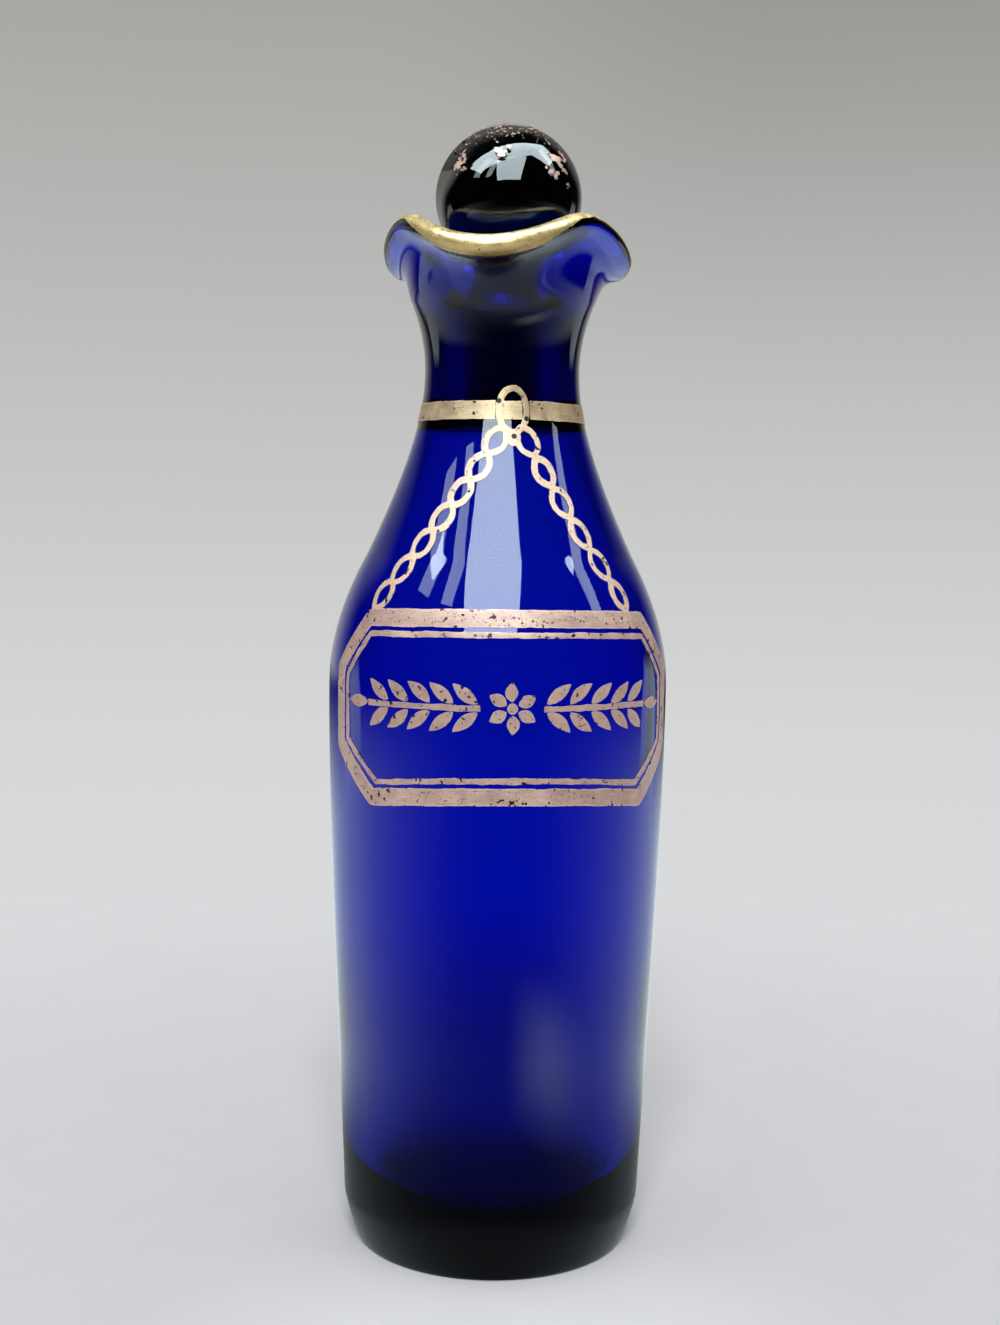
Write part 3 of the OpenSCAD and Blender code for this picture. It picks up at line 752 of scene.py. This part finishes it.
class BOTTLE_OT_rim_gilding(bpy.types.Operator):
    """Gild the rolled edge of the wavy lip"""
    bl_idname = "bottle.rim_gilding"
    bl_label = "Gilded rim"

    def execute(self, context):
        h0, h1 = gilt_heights()
        deselect()
        bpy.ops.mesh.primitive_circle_add(vertices=ROUND * 2, radius=DIP[0] * MM, fill_type="NOTHING")
        obj = named("gilded_rim")
        mode("EDIT")
        bpy.ops.mesh.select_mode(type="VERT")
        select_all()
        rows = 16
        wobble = stray()

        def borders(a):
            """Both borders of the gold. They stray a little, and the outer one drops in the front dip."""
            ring = Vector((cos(radians(a)), sin(radians(a)), 0))
            k = front(a)
            low = (1 - k) * radians(RIM_BARE) - k * RIM_DROP / (LIP_T / 2)
            low += 0.8 * wobble * noise.noise(ring * 6.5) + 0.5 * wobble * noise.noise(ring * 30)
            high = math.pi + 0.8 * wobble * noise.noise(ring * 7 + Vector((0, 0, 3)))
            return low, high

        def point(a, i):
            t = i / rows
            low, high = borders(a)
            turn = low + (high - low) * t
            lift = h0 + (h1 - h0) * sin(math.pi * t)
            if 0 <= turn <= math.pi:
                r, z = edge_round(a, degrees(turn), LIP_T / 2 + lift)
            else:
                # Past an end of the round, the gold runs on down the lip's side
                last, step, past = OUTER - 1, -1, -turn
                if turn > 0:
                    last, step, past = OUTER + ROLLED - 1, 1, turn - math.pi
                section = lip_section(a)
                end, beyond = section[last], section[last + step]
                down = unit((beyond[0] - end[0], beyond[1] - end[1]))
                d = past * LIP_T / 2
                r, z = end[0] + down[0] * d - down[1] * lift, end[1] + down[1] * d + down[0] * lift
            return place(r, a, z)

        set_ring(obj, lambda a: point(a, 0))
        for i in range(1, rows + 1):
            next_ring(obj, lambda a, i=i: point(a, i))
        select_all()
        bpy.ops.mesh.normals_make_consistent(inside=False)
        mode("OBJECT")
        top = max(obj.data.polygons, key=lambda f: f.center.z)
        if top.normal.z < 0:
            flip()
        # Across, the map counts the turn from the gold's lowest place to its highest
        lowest, whole = -0.41, 3.55
        layer = obj.data.uv_layers.active or obj.data.uv_layers.new(name="UVMap")
        for loop in obj.data.loops:
            a, i = angle_of(obj.data.vertices[loop.vertex_index].co), loop.vertex_index // (ROUND * 2)
            low, high = borders(a)
            across = (low + (high - low) * i / rows - lowest) / whole
            layer.data[loop.index].uv = (across, (a % 360) / 360 * 11)
        thicken(obj, GOLD_T)
        s = gilt_settings()
        # The rim's downward-turned low side gets painted shade over its thin, worn gold
        material = gilding("polished gilding", s.yellow, s.ochre, 0.2, 0.28, 0.42, under=0.31)
        dress(obj, material, "gilding", "gilt_rim")
        return {"FINISHED"}


class BOTTLE_OT_neck_band(bpy.types.Operator):
    """Gild the band round the neck and the oval ring on it"""
    bl_idname = "bottle.neck_band"
    bl_label = "Neck band"

    def execute(self, context):
        w, h, stroke, at = OVAL
        wobble = stray()
        outer = arc(w / 2 + 0.05, BAND_Z)
        inner = arc(w / 2 - stroke - 0.2, BAND_Z)
        parts = []
        for i, (a0, a1) in enumerate(((at + outer, at + 360 - outer), (at - inner, at + inner))):
            n = max(int((a1 - a0) / 1.6), 8)
            path = [(a0 + (a1 - a0) * k / n, BAND_Z) for k in range(n + 1)]
            halves = brushed(path, BAND_W / 2, 1 + i, 0.55 * wobble, 3.5)
            parts.append(ribbon(f"band_{i}", path, halves, strips=8))
        rs, rz = arc((w - stroke) / 2, BAND_Z), (h - stroke) / 2
        path = [(at + rs * cos(t), BAND_Z + rz * sin(t)) for t in (math.tau * k / 72 for k in range(72))]
        halves = loop_halves(path, stroke / 2, 5, 0.6 * wobble)
        parts.append(ribbon("oval", path, halves, closed=True, strips=4))
        # Rubbed through to the glass on both sides of the oval ring
        bare = [(place(glass_r(z) + 0.1, at + side * arc(1.95, z), z), 0.00038)
                for side, z in ((-1, BAND_Z + 1.25), (1, BAND_Z - 1.2))]
        s = gilt_settings()
        material = gilding("neck gilding", s.straw, s.tan, 0.7, 0.40, 0.45, bare=bare)
        dress(joined("gilded_neck_band", parts), material, "gilding", "gilt_neck_band")
        return {"FINISHED"}


def loop_halves(path, half, seed, wobble, size=2.2):
    """Half widths on both sides of a closed path, alike where it closes."""
    out = brushed(path, half, seed, wobble, size)
    n = len(out)
    fade = max(n // 10, 1)
    for i in range(fade):
        k = 0.5 + 0.5 * i / fade
        j = n - 1 - i
        a, b = out[i], out[j]
        out[i] = tuple(x * k + y * (1 - k) for x, y in zip(a, b))
        out[j] = tuple(y * k + x * (1 - k) for x, y in zip(a, b))
    return out


class BOTTLE_OT_chain(bpy.types.Operator):
    """Paint the two chains that hang from the band to the label"""
    bl_idname = "bottle.chain"
    bl_label = "Painted chains"

    def execute(self, context):
        s = gilt_settings()
        length, width, stroke = 5.1, 3.5, 0.9
        top = BAND_Z - BAND_W / 2 - 0.5 - length / 2
        parts = []
        # Side, angle from the oval ring, how far each link goes aside and down, how many links
        chains = ((-1, 10.8, 2.12, 3.6, s.links_left), (1, 8.7, 1.95, 4.25, s.links_right))
        for side, spread, run, fall, count in chains:
            at = OVAL[3] + side * spread
            lean = math.atan(run / fall) * -side
            for n in range(count):
                if n:
                    at += arc(side * run, top - (n - 0.5) * fall)
                thick = stroke + 0.12 * noise.noise(Vector((len(parts) * 1.7, 3.1, 0.3))) * 2
                parts.append(self.link(len(parts), at, top - n * fall, lean, length, width, thick))
        # The first links run together in a blob under the oval ring
        foot = [(OVAL[3] + 0.4 * sin(k * 0.7), 118.9 - 0.26 * k) for k in range(9)]
        swell = [0.5, 0.85, 1.0, 1.05, 1.0, 0.9, 0.75, 0.55, 0.25]
        parts.append(ribbon("blob", foot, brushed(foot, swell, 77, 0.1)))
        blob = (place(glass_r(118.2) + 0.1, OVAL[3] + 0.5, 118.2), 0.0004)
        material = gilding("chain gilding", s.cream, s.pale, 1.0, 0.42, 0.16, bare=[blob])
        dress(joined("painted_chains", parts), material, "gilding", "gilt_chain")
        return {"FINISHED"}

    @staticmethod
    def link(seed, at, z, lean, length, width, stroke):
        a, b = (length - stroke) / 2, (width - stroke) / 2
        r = (a * a + b * b) / (2 * b)
        half = math.asin(a / r)
        steps = 18
        right = [(r * cos(t) - (r - b), r * sin(t))
                 for t in (half * (1 - 2 * i / steps) for i in range(steps))]
        outline = right + [(-x, -y) for x, y in right]
        c, d = cos(lean), sin(lean)
        path = []
        for i, (x, y) in enumerate(outline):
            x += wander(seed + 0.5, i * 0.3, 4, 0.12)
            path.append((at + arc(x * c + y * d, z), z + y * c - x * d))
        halves = loop_halves(path, stroke / 2, seed * 2 + 20, 0.6 * stray())
        # Every other link lies over its neighbours
        return ribbon(f"link_{seed}", path, halves, closed=True, strips=4, lift=0.012 * (seed % 2))


def on_label(points):
    return [(arc(x, LABEL_Z), LABEL_Z + y) for x, y in points]


class BOTTLE_OT_label_border(bpy.types.Operator):
    """Paint the label's thick border and its fine line"""
    bl_idname = "bottle.label_border"
    bl_label = "Label border"

    def execute(self, context):
        parts = [self.eight_sided("border", 0, BORDER_W, 40, 10, 0.55),
                 self.eight_sided("line", 2.2, 0.8, 60, 4, 0.8)]
        s = gilt_settings()
        material = gilding("worn gilding", s.pale, s.brown)
        dress(joined("gilded_label_border", parts), material, "gilding", "gilt_label_border")
        return {"FINISHED"}

    @staticmethod
    def eight_sided(name, inset, width, seed, strips, share):
        s, h = LABEL_HALF - inset, LABEL_H / 2 - inset
        k = inset * (2 - math.sqrt(2))
        ts, tz, ls, lz = 5.6 - k, 7.6 - k, 8.0 - k, 5.6 - k
        top_sag, low_sag = 0.5, 1.2
        corners = [(s - ts, h - top_sag), (s, h - tz), (s, lz - h), (s - ls, -h - low_sag)]
        corners += [(-x, y) for x, y in reversed(corners)]
        path = []
        for i, a in enumerate(corners):
            b = corners[(i + 1) % 8]
            n = max(round(math.dist(a, b) / 0.45), 4)
            sag = low_sag if i == 3 else top_sag if i == 7 else 0
            for j in range(n):
                x, y = along(a, j / n, b)
                if sag:
                    t = x / abs(a[0])
                    y = (-h if i == 3 else h) - sag * t * t
                path.append((x, y))
        path = on_label(path)
        halves = loop_halves(path, width / 2, seed, share * stray(), 3.0)
        return ribbon(name, path, halves, closed=True, strips=strips)


class BOTTLE_OT_leaf_spray(bpy.types.Operator):
    """Paint a flower between two leafy branches in the middle of the label"""
    bl_idname = "bottle.leaf_spray"
    bl_label = "Leaf spray"

    def execute(self, context):
        leaf_l, leaf_w, lean, pairs, pitch, stem = 4.3, 1.7, 38, 5, 3.35, 0.8
        petals, petal_l, eye, gap = 6, 2.6, 0.75, 0.2
        start = eye + gap + petal_l + 0.8
        length = pairs * pitch + stem
        self.parts = []
        for side in (-1, 1):
            line = [(side * (start + length * i / 40), 0.0) for i in range(41)]
            path = on_label([(x, y + wander(side + 80, x, 5, 0.12)) for x, y in line])
            halves = brushed(path, stem / 2, 80 + side, 0.5 * stray())
            self.parts.append(ribbon("stem", path, halves, strips=4))
            for n in range(pairs):
                for up in (-1, 1):
                    turn = up * lean if side > 0 else 180 - up * lean
                    foot = (side * (start + stem / 2 + n * pitch), up * (stem / 2 + gap))
                    self.leaf(foot, turn, leaf_l, leaf_w)
            self.leaf((side * (start + length + gap), 0), 0 if side > 0 else 180, leaf_l, leaf_w)
        for i in range(petals):
            turn = 90 + 360 * i / petals
            c, d = cos(radians(turn)), sin(radians(turn))
            self.leaf(((eye + gap) * c, (eye + gap) * d), turn, petal_l, leaf_w)
        self.leaf((-eye, 0), 0, 2 * eye, 2 * eye, full=True)
        s = gilt_settings()
        material = gilding("leaf gilding", [c * 0.84 for c in s.pale], s.brown)
        dress(joined("painted_leaf_spray", self.parts), material, "gilding", "gilt_leaf_spray")
        return {"FINISHED"}

    def leaf(self, foot, turn, length, width, full=False):
        """A leaf that starts narrow, swells and ends in a point."""
        seed = len(self.parts)
        c, d = cos(radians(turn)), sin(radians(turn))
        steps = 20
        bend = 0 if full else 0.16 * noise.noise(Vector((seed * 2.3, 1.7, 0.4)))
        line, halves = [], []
        for i in range(steps + 1):
            t = i / steps
            off = bend * length * sin(math.pi * t) * 0.5
            line.append((foot[0] + c * length * t - d * off, foot[1] + d * length * t + c * off))
            swell = sin(math.pi * t) if full else sin(math.pi * t ** 0.9)
            halves.append(0.04 + (width / 2 - 0.04) * max(swell, 0) ** (0.55 if full else 0.85))
        path = on_label(line)
        halves = brushed(path, halves, 100 + seed, 0.3 * stray(), 1.4)
        self.parts.append(ribbon(f"leaf_{seed}", path, halves))


class BOTTLE_OT_stage(bpy.types.Operator):
    """Set the floor, the backdrop, the lights and the camera"""
    bl_idname = "bottle.stage"
    bl_label = "Stage"

    def execute(self, context):
        self.floor()
        self.world()
        self.lights()
        self.camera()
        return {"FINISHED"}

    @staticmethod
    def backdrop_colour(n, up, aside):
        """The backdrop's grey by the sine of the height over the horizon, darker at its top right."""
        s = stage_settings()
        high = n.mix(n.span(up, -0.15, 0.28, smoothed=False), (*s.backdrop_mid, 1), (*s.backdrop_high, 1))
        low = n.mix(n.span(up, -0.12, -0.34), high, (*s.backdrop_low, 1))
        shade = n.product(n.span(aside, 0.0, 0.22), n.span(up, 0.02, 0.3, 0.0, 0.16))
        return n.mix(shade, low, (0, 0, 0, 1))

    def floor(self):
        deselect()
        bpy.ops.mesh.primitive_circle_add(vertices=96, radius=0.9, fill_type="TRIFAN",
                                          location=(0, 0, -0.0002))
        obj = bpy.context.active_object
        obj.name = "floor"
        bpy.ops.object.transform_apply(location=True)
        n = Nodes("floor")
        bsdf = n.add("ShaderNodeBsdfDiffuse")
        s = stage_settings()
        spot = n.place["Object"]
        x, y, _ = n.xyz(spot)
        away = n.vector("LENGTH", spot, "Value")
        # Painted light: the floor is paler in a strip that runs forward from the foot towards the front
        painted_light_pool = n.product(n.span(y, 0.0, -0.035, 0.0, 0.15), n.span(n.math("ABSOLUTE", x), 0.055, 0.015))
        grain = n.span(n.noise(60, detail=4), 0.3, 0.7, 0.945, 0.962)
        # Painted shade: the floor is a little darker within about 27 cm of the bottle and paler beyond
        tone = n.sum(grain, painted_light_pool, n.span(away, 0.07, 0.27, 0.0, 0.13))
        n.link(n.vector("SCALE", s.floor_colour, 0, Scale=tone), bsdf.inputs["Color"])
        # Mirrored, the floor is the room's table, in shade round the foot
        path = n.add("ShaderNodeLightPath").outputs
        glossy = n.product(path["Is Glossy Ray"], n.math("SUBTRACT", 1.0, path["Is Transmission Ray"]))
        white = (1, 1, 1, 1)
        clear = n.add("ShaderNodeBsdfTransparent")
        shaded = n.mix(n.span(away, 0.046, 0.105), (0.22, 0.22, 0.22, 1), white)
        n.link(n.mix(glossy, white, shaded), clear.inputs["Color"])
        mixed = n.add("ShaderNodeMixShader")
        n.link(n.math("MAXIMUM", n.span(away, 0.08, 0.6), glossy), mixed.inputs["Fac"])
        n.link(bsdf.outputs[0], mixed.inputs[1])
        n.link(clear.outputs[0], mixed.inputs[2])
        n.link(mixed.outputs[0], n.out.inputs["Surface"])
        obj.data.materials.append(n.mat)

    def world(self):
        world = bpy.data.worlds.new("studio")
        bpy.context.scene.world = world
        n = Nodes("studio", world)
        x, y, z = n.xyz(n.place["Generated"])
        backdrop = self.backdrop_colour(n, z, x)
        # Mirrored, the room in front and overhead is dark. Only the backdrop and the table are pale,
        # and the table grows brighter towards the back
        flat = n.math("MAXIMUM", n.math("SQRT", n.sum(n.product(x, x), n.product(y, y))), 0.001)
        back = n.math("DIVIDE", y, flat)
        side = n.math("DIVIDE", x, flat)
        above = n.span(n.sum(back, n.span(z, 0.2, 0.45, -0.18, 0.0)), 0.45, 0.75)
        above = n.product(above, n.span(z, 0.87, 0.70), n.span(z, -0.10, -0.04))
        room = n.mix(above, (0.010, 0.011, 0.013, 1), backdrop)
        reach = n.math("MINIMUM", n.product(n.math("POWER", n.sum(back, 1.0), 1.35), 0.56), 0.9)
        # A pale card lies on the table in front, to the right
        card = n.product(n.span(side, 0.05, 0.62), n.span(side, 1.05, 0.6), n.span(z, -0.32, -0.375),
                         n.span(z, -0.42, -0.385), n.span(back, 0.1, -0.1, 0.0, 0.85))
        reach = n.sum(reach, n.span(z, -0.27, -0.42, 0.01, 0.12), n.span(z, -0.40, -0.52, 0.0, 0.4), card)
        table = n.vector("SCALE", (1.0, 1.15, 1.22), 0, Scale=reach)
        # At both sides the table's far edge is seen a little higher
        edge = n.product(n.span(back, 0.31, 0.40, 0.0, 0.18), n.span(back, 0.68, 0.56))
        level = n.math("SUBTRACT", z, edge)
        room = n.mix(n.span(level, -0.08, -0.20), room, table)
        seen_through = n.mix(n.span(z, 0.35, 0.8), backdrop, (0.10, 0.10, 0.11, 1))
        path = n.add("ShaderNodeLightPath").outputs
        colour = n.mix(path["Is Glossy Ray"], backdrop, room)
        colour = n.mix(path["Is Transmission Ray"], colour, seen_through)
        colour = n.mix(path["Is Diffuse Ray"], colour, (0.56, 0.56, 0.56, 1))
        shader = n.add("ShaderNodeBackground")
        n.link(colour, shader.inputs["Color"])
        n.link(shader.outputs[0], n.out.inputs["Surface"])

    def lights(self):
        s = stage_settings()
        target = Vector((0, 0, 0.12))
        # Azimuth from the front, elevation, distance, width, height, share of the strength
        panels = (
            ("centre_panel", -10.5, 45.4, 0.9, 0.60, 0.69, 1.0),
            ("overhead_panel", 0.0, 81.0, 0.81, 1.7, 0.46, 1.0),
            ("right_panel", 76.0, 43.0, 0.9, 0.13, 0.62, 0.4),
            ("left_panel", -48.0, 48.0, 0.9, 0.13, 0.46, 0.42),
            ("far_left_panel", -71.0, 48.0, 0.9, 0.16, 0.46, 0.36),
        )
        for *where, share in panels:
            lamp = self.panel(target, *where, s.window * share)
            lamp.data.color = (0.81, 0.96, 1.0)
            lamp.visible_camera = lamp.visible_diffuse = lamp.visible_transmission = False
        # The soft light from above the camera, which casts the shadow behind the bottle
        lamp = self.panel(target, "soft_key", -6.0, 44.0, 3.0, 0.85, 0.80, s.key)
        lamp.visible_camera = lamp.visible_glossy = lamp.visible_transmission = False

    @staticmethod
    def panel(target, name, azimuth, elevation, distance, width, height, strength):
        a, e = radians(azimuth), radians(elevation)
        way = Vector((sin(a) * cos(e), -cos(a) * cos(e), sin(e)))
        deselect()
        bpy.ops.object.light_add(type="AREA", location=target + way * distance)
        lamp = bpy.context.active_object
        lamp.name = name
        lamp.rotation_euler = way.to_track_quat("Z", "Y").to_euler()
        lamp.data.shape = "RECTANGLE"
        lamp.data.size, lamp.data.size_y = width, height
        lamp.data.energy = strength * math.pi * width * height
        return lamp

    @staticmethod
    def camera():
        """The camera at the photograph's place: its turn, pitch and roll, its distance, height and
        sidewise shift in millimetres, and its focal length in pixels of a frame 1325 high."""
        turn, pitch, roll = radians(4.8), 0.0766441, 0.0145346
        away, height, aside, focal = 265.49, 105.929, 0.2969, 1800
        ct, st = cos(turn), sin(turn)
        right = Vector((ct, -st, 0))
        up = Vector((sin(pitch) * st, sin(pitch) * ct, cos(pitch)))
        back = -Vector((cos(pitch) * st, cos(pitch) * ct, -sin(pitch)))
        r = right * cos(roll) + up * sin(roll)
        u = up * cos(roll) - right * sin(roll)
        at = Vector((aside * ct - away * st, -aside * st - away * ct, height)) * MM
        deselect()
        bpy.ops.object.camera_add()
        cam = bpy.context.active_object
        cam.matrix_world = Matrix.Translation(at) @ Matrix((r, u, back)).transposed().to_4x4()
        cam.data.sensor_width, cam.data.lens = 36, focal * 36 / 1325
        cam.data.clip_start = 0.01
        bpy.context.scene.camera = cam


class BOTTLE_PT_panel(bpy.types.Panel):
    """The bottle's sizes, colours and steps"""
    bl_idname = "BOTTLE_PT_panel"
    bl_label = "Condiment bottle"
    bl_space_type = "VIEW_3D"
    bl_region_type = "UI"
    bl_category = "Bottle"

    def draw(self, context):
        for group in GROUPS:
            settings = getattr(context.scene, group)
            box = self.layout.box()
            for key in settings.bl_rna.properties.keys():
                if key not in ("rna_type", "name"):
                    box.prop(settings, key)
        for step in STEPS:
            self.layout.operator(step.bl_idname)


STEPS = (BOTTLE_OT_stage, BOTTLE_OT_glass, BOTTLE_OT_stopper, BOTTLE_OT_ball_gilding, BOTTLE_OT_rim_gilding,
         BOTTLE_OT_neck_band, BOTTLE_OT_chain, BOTTLE_OT_label_border, BOTTLE_OT_leaf_spray)
GROUPS = {"bottle_glass": BottleGlassSettings, "bottle_gilt": BottleGiltSettings,
          "bottle_stage": BottleStageSettings}


def register():
    for c in (*GROUPS.values(), *STEPS, BOTTLE_PT_panel):
        bpy.utils.register_class(c)
    for name, group in GROUPS.items():
        setattr(bpy.types.Scene, name, PointerProperty(type=group))


def unregister():
    for name in GROUPS:
        delattr(bpy.types.Scene, name)
    for c in (BOTTLE_PT_panel, *reversed(STEPS), *reversed(GROUPS.values())):
        bpy.utils.unregister_class(c)


def main():
    register()
    bpy.context.scene.view_settings.view_transform = "Standard"
    for step in STEPS:
        group, name = step.bl_idname.split(".")
        getattr(getattr(bpy.ops, group), name)()
    bpy.context.view_layer.update()


if __name__ == "__main__":
    main()
